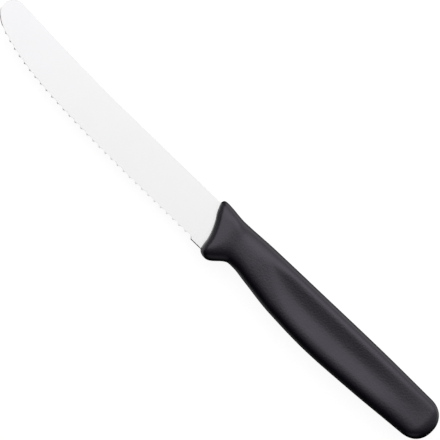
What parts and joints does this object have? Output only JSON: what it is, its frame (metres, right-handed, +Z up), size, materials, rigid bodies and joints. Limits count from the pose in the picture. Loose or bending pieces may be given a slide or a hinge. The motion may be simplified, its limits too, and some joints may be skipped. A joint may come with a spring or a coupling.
{
  "type": "table knife",
  "caption": "Table knife with a wavy-serrated, round-tipped stainless blade and a moulded black plastic handle with a flared guard and a finger dish in each side.",
  "frame": {"origin": "middle of the knife's bounding box, on the surface it lies on", "axes": "the knife lies on its side: +X from the blade's tip to the butt, +Y from the cutting edge to the back, +Z up, towards the side that the picture shows"},
  "size_m": [0.214, 0.02, 0.012],
  "materials": {
    "stainless_steel": "satin-polished cold-rolled stainless sheet",
    "handle_plastic": "black polypropylene with a fine matt grain"
  },
  "bodies": {
    "root": {"blade": "stainless_steel", "handle": "handle_plastic"}
  },
  "joints": []
}
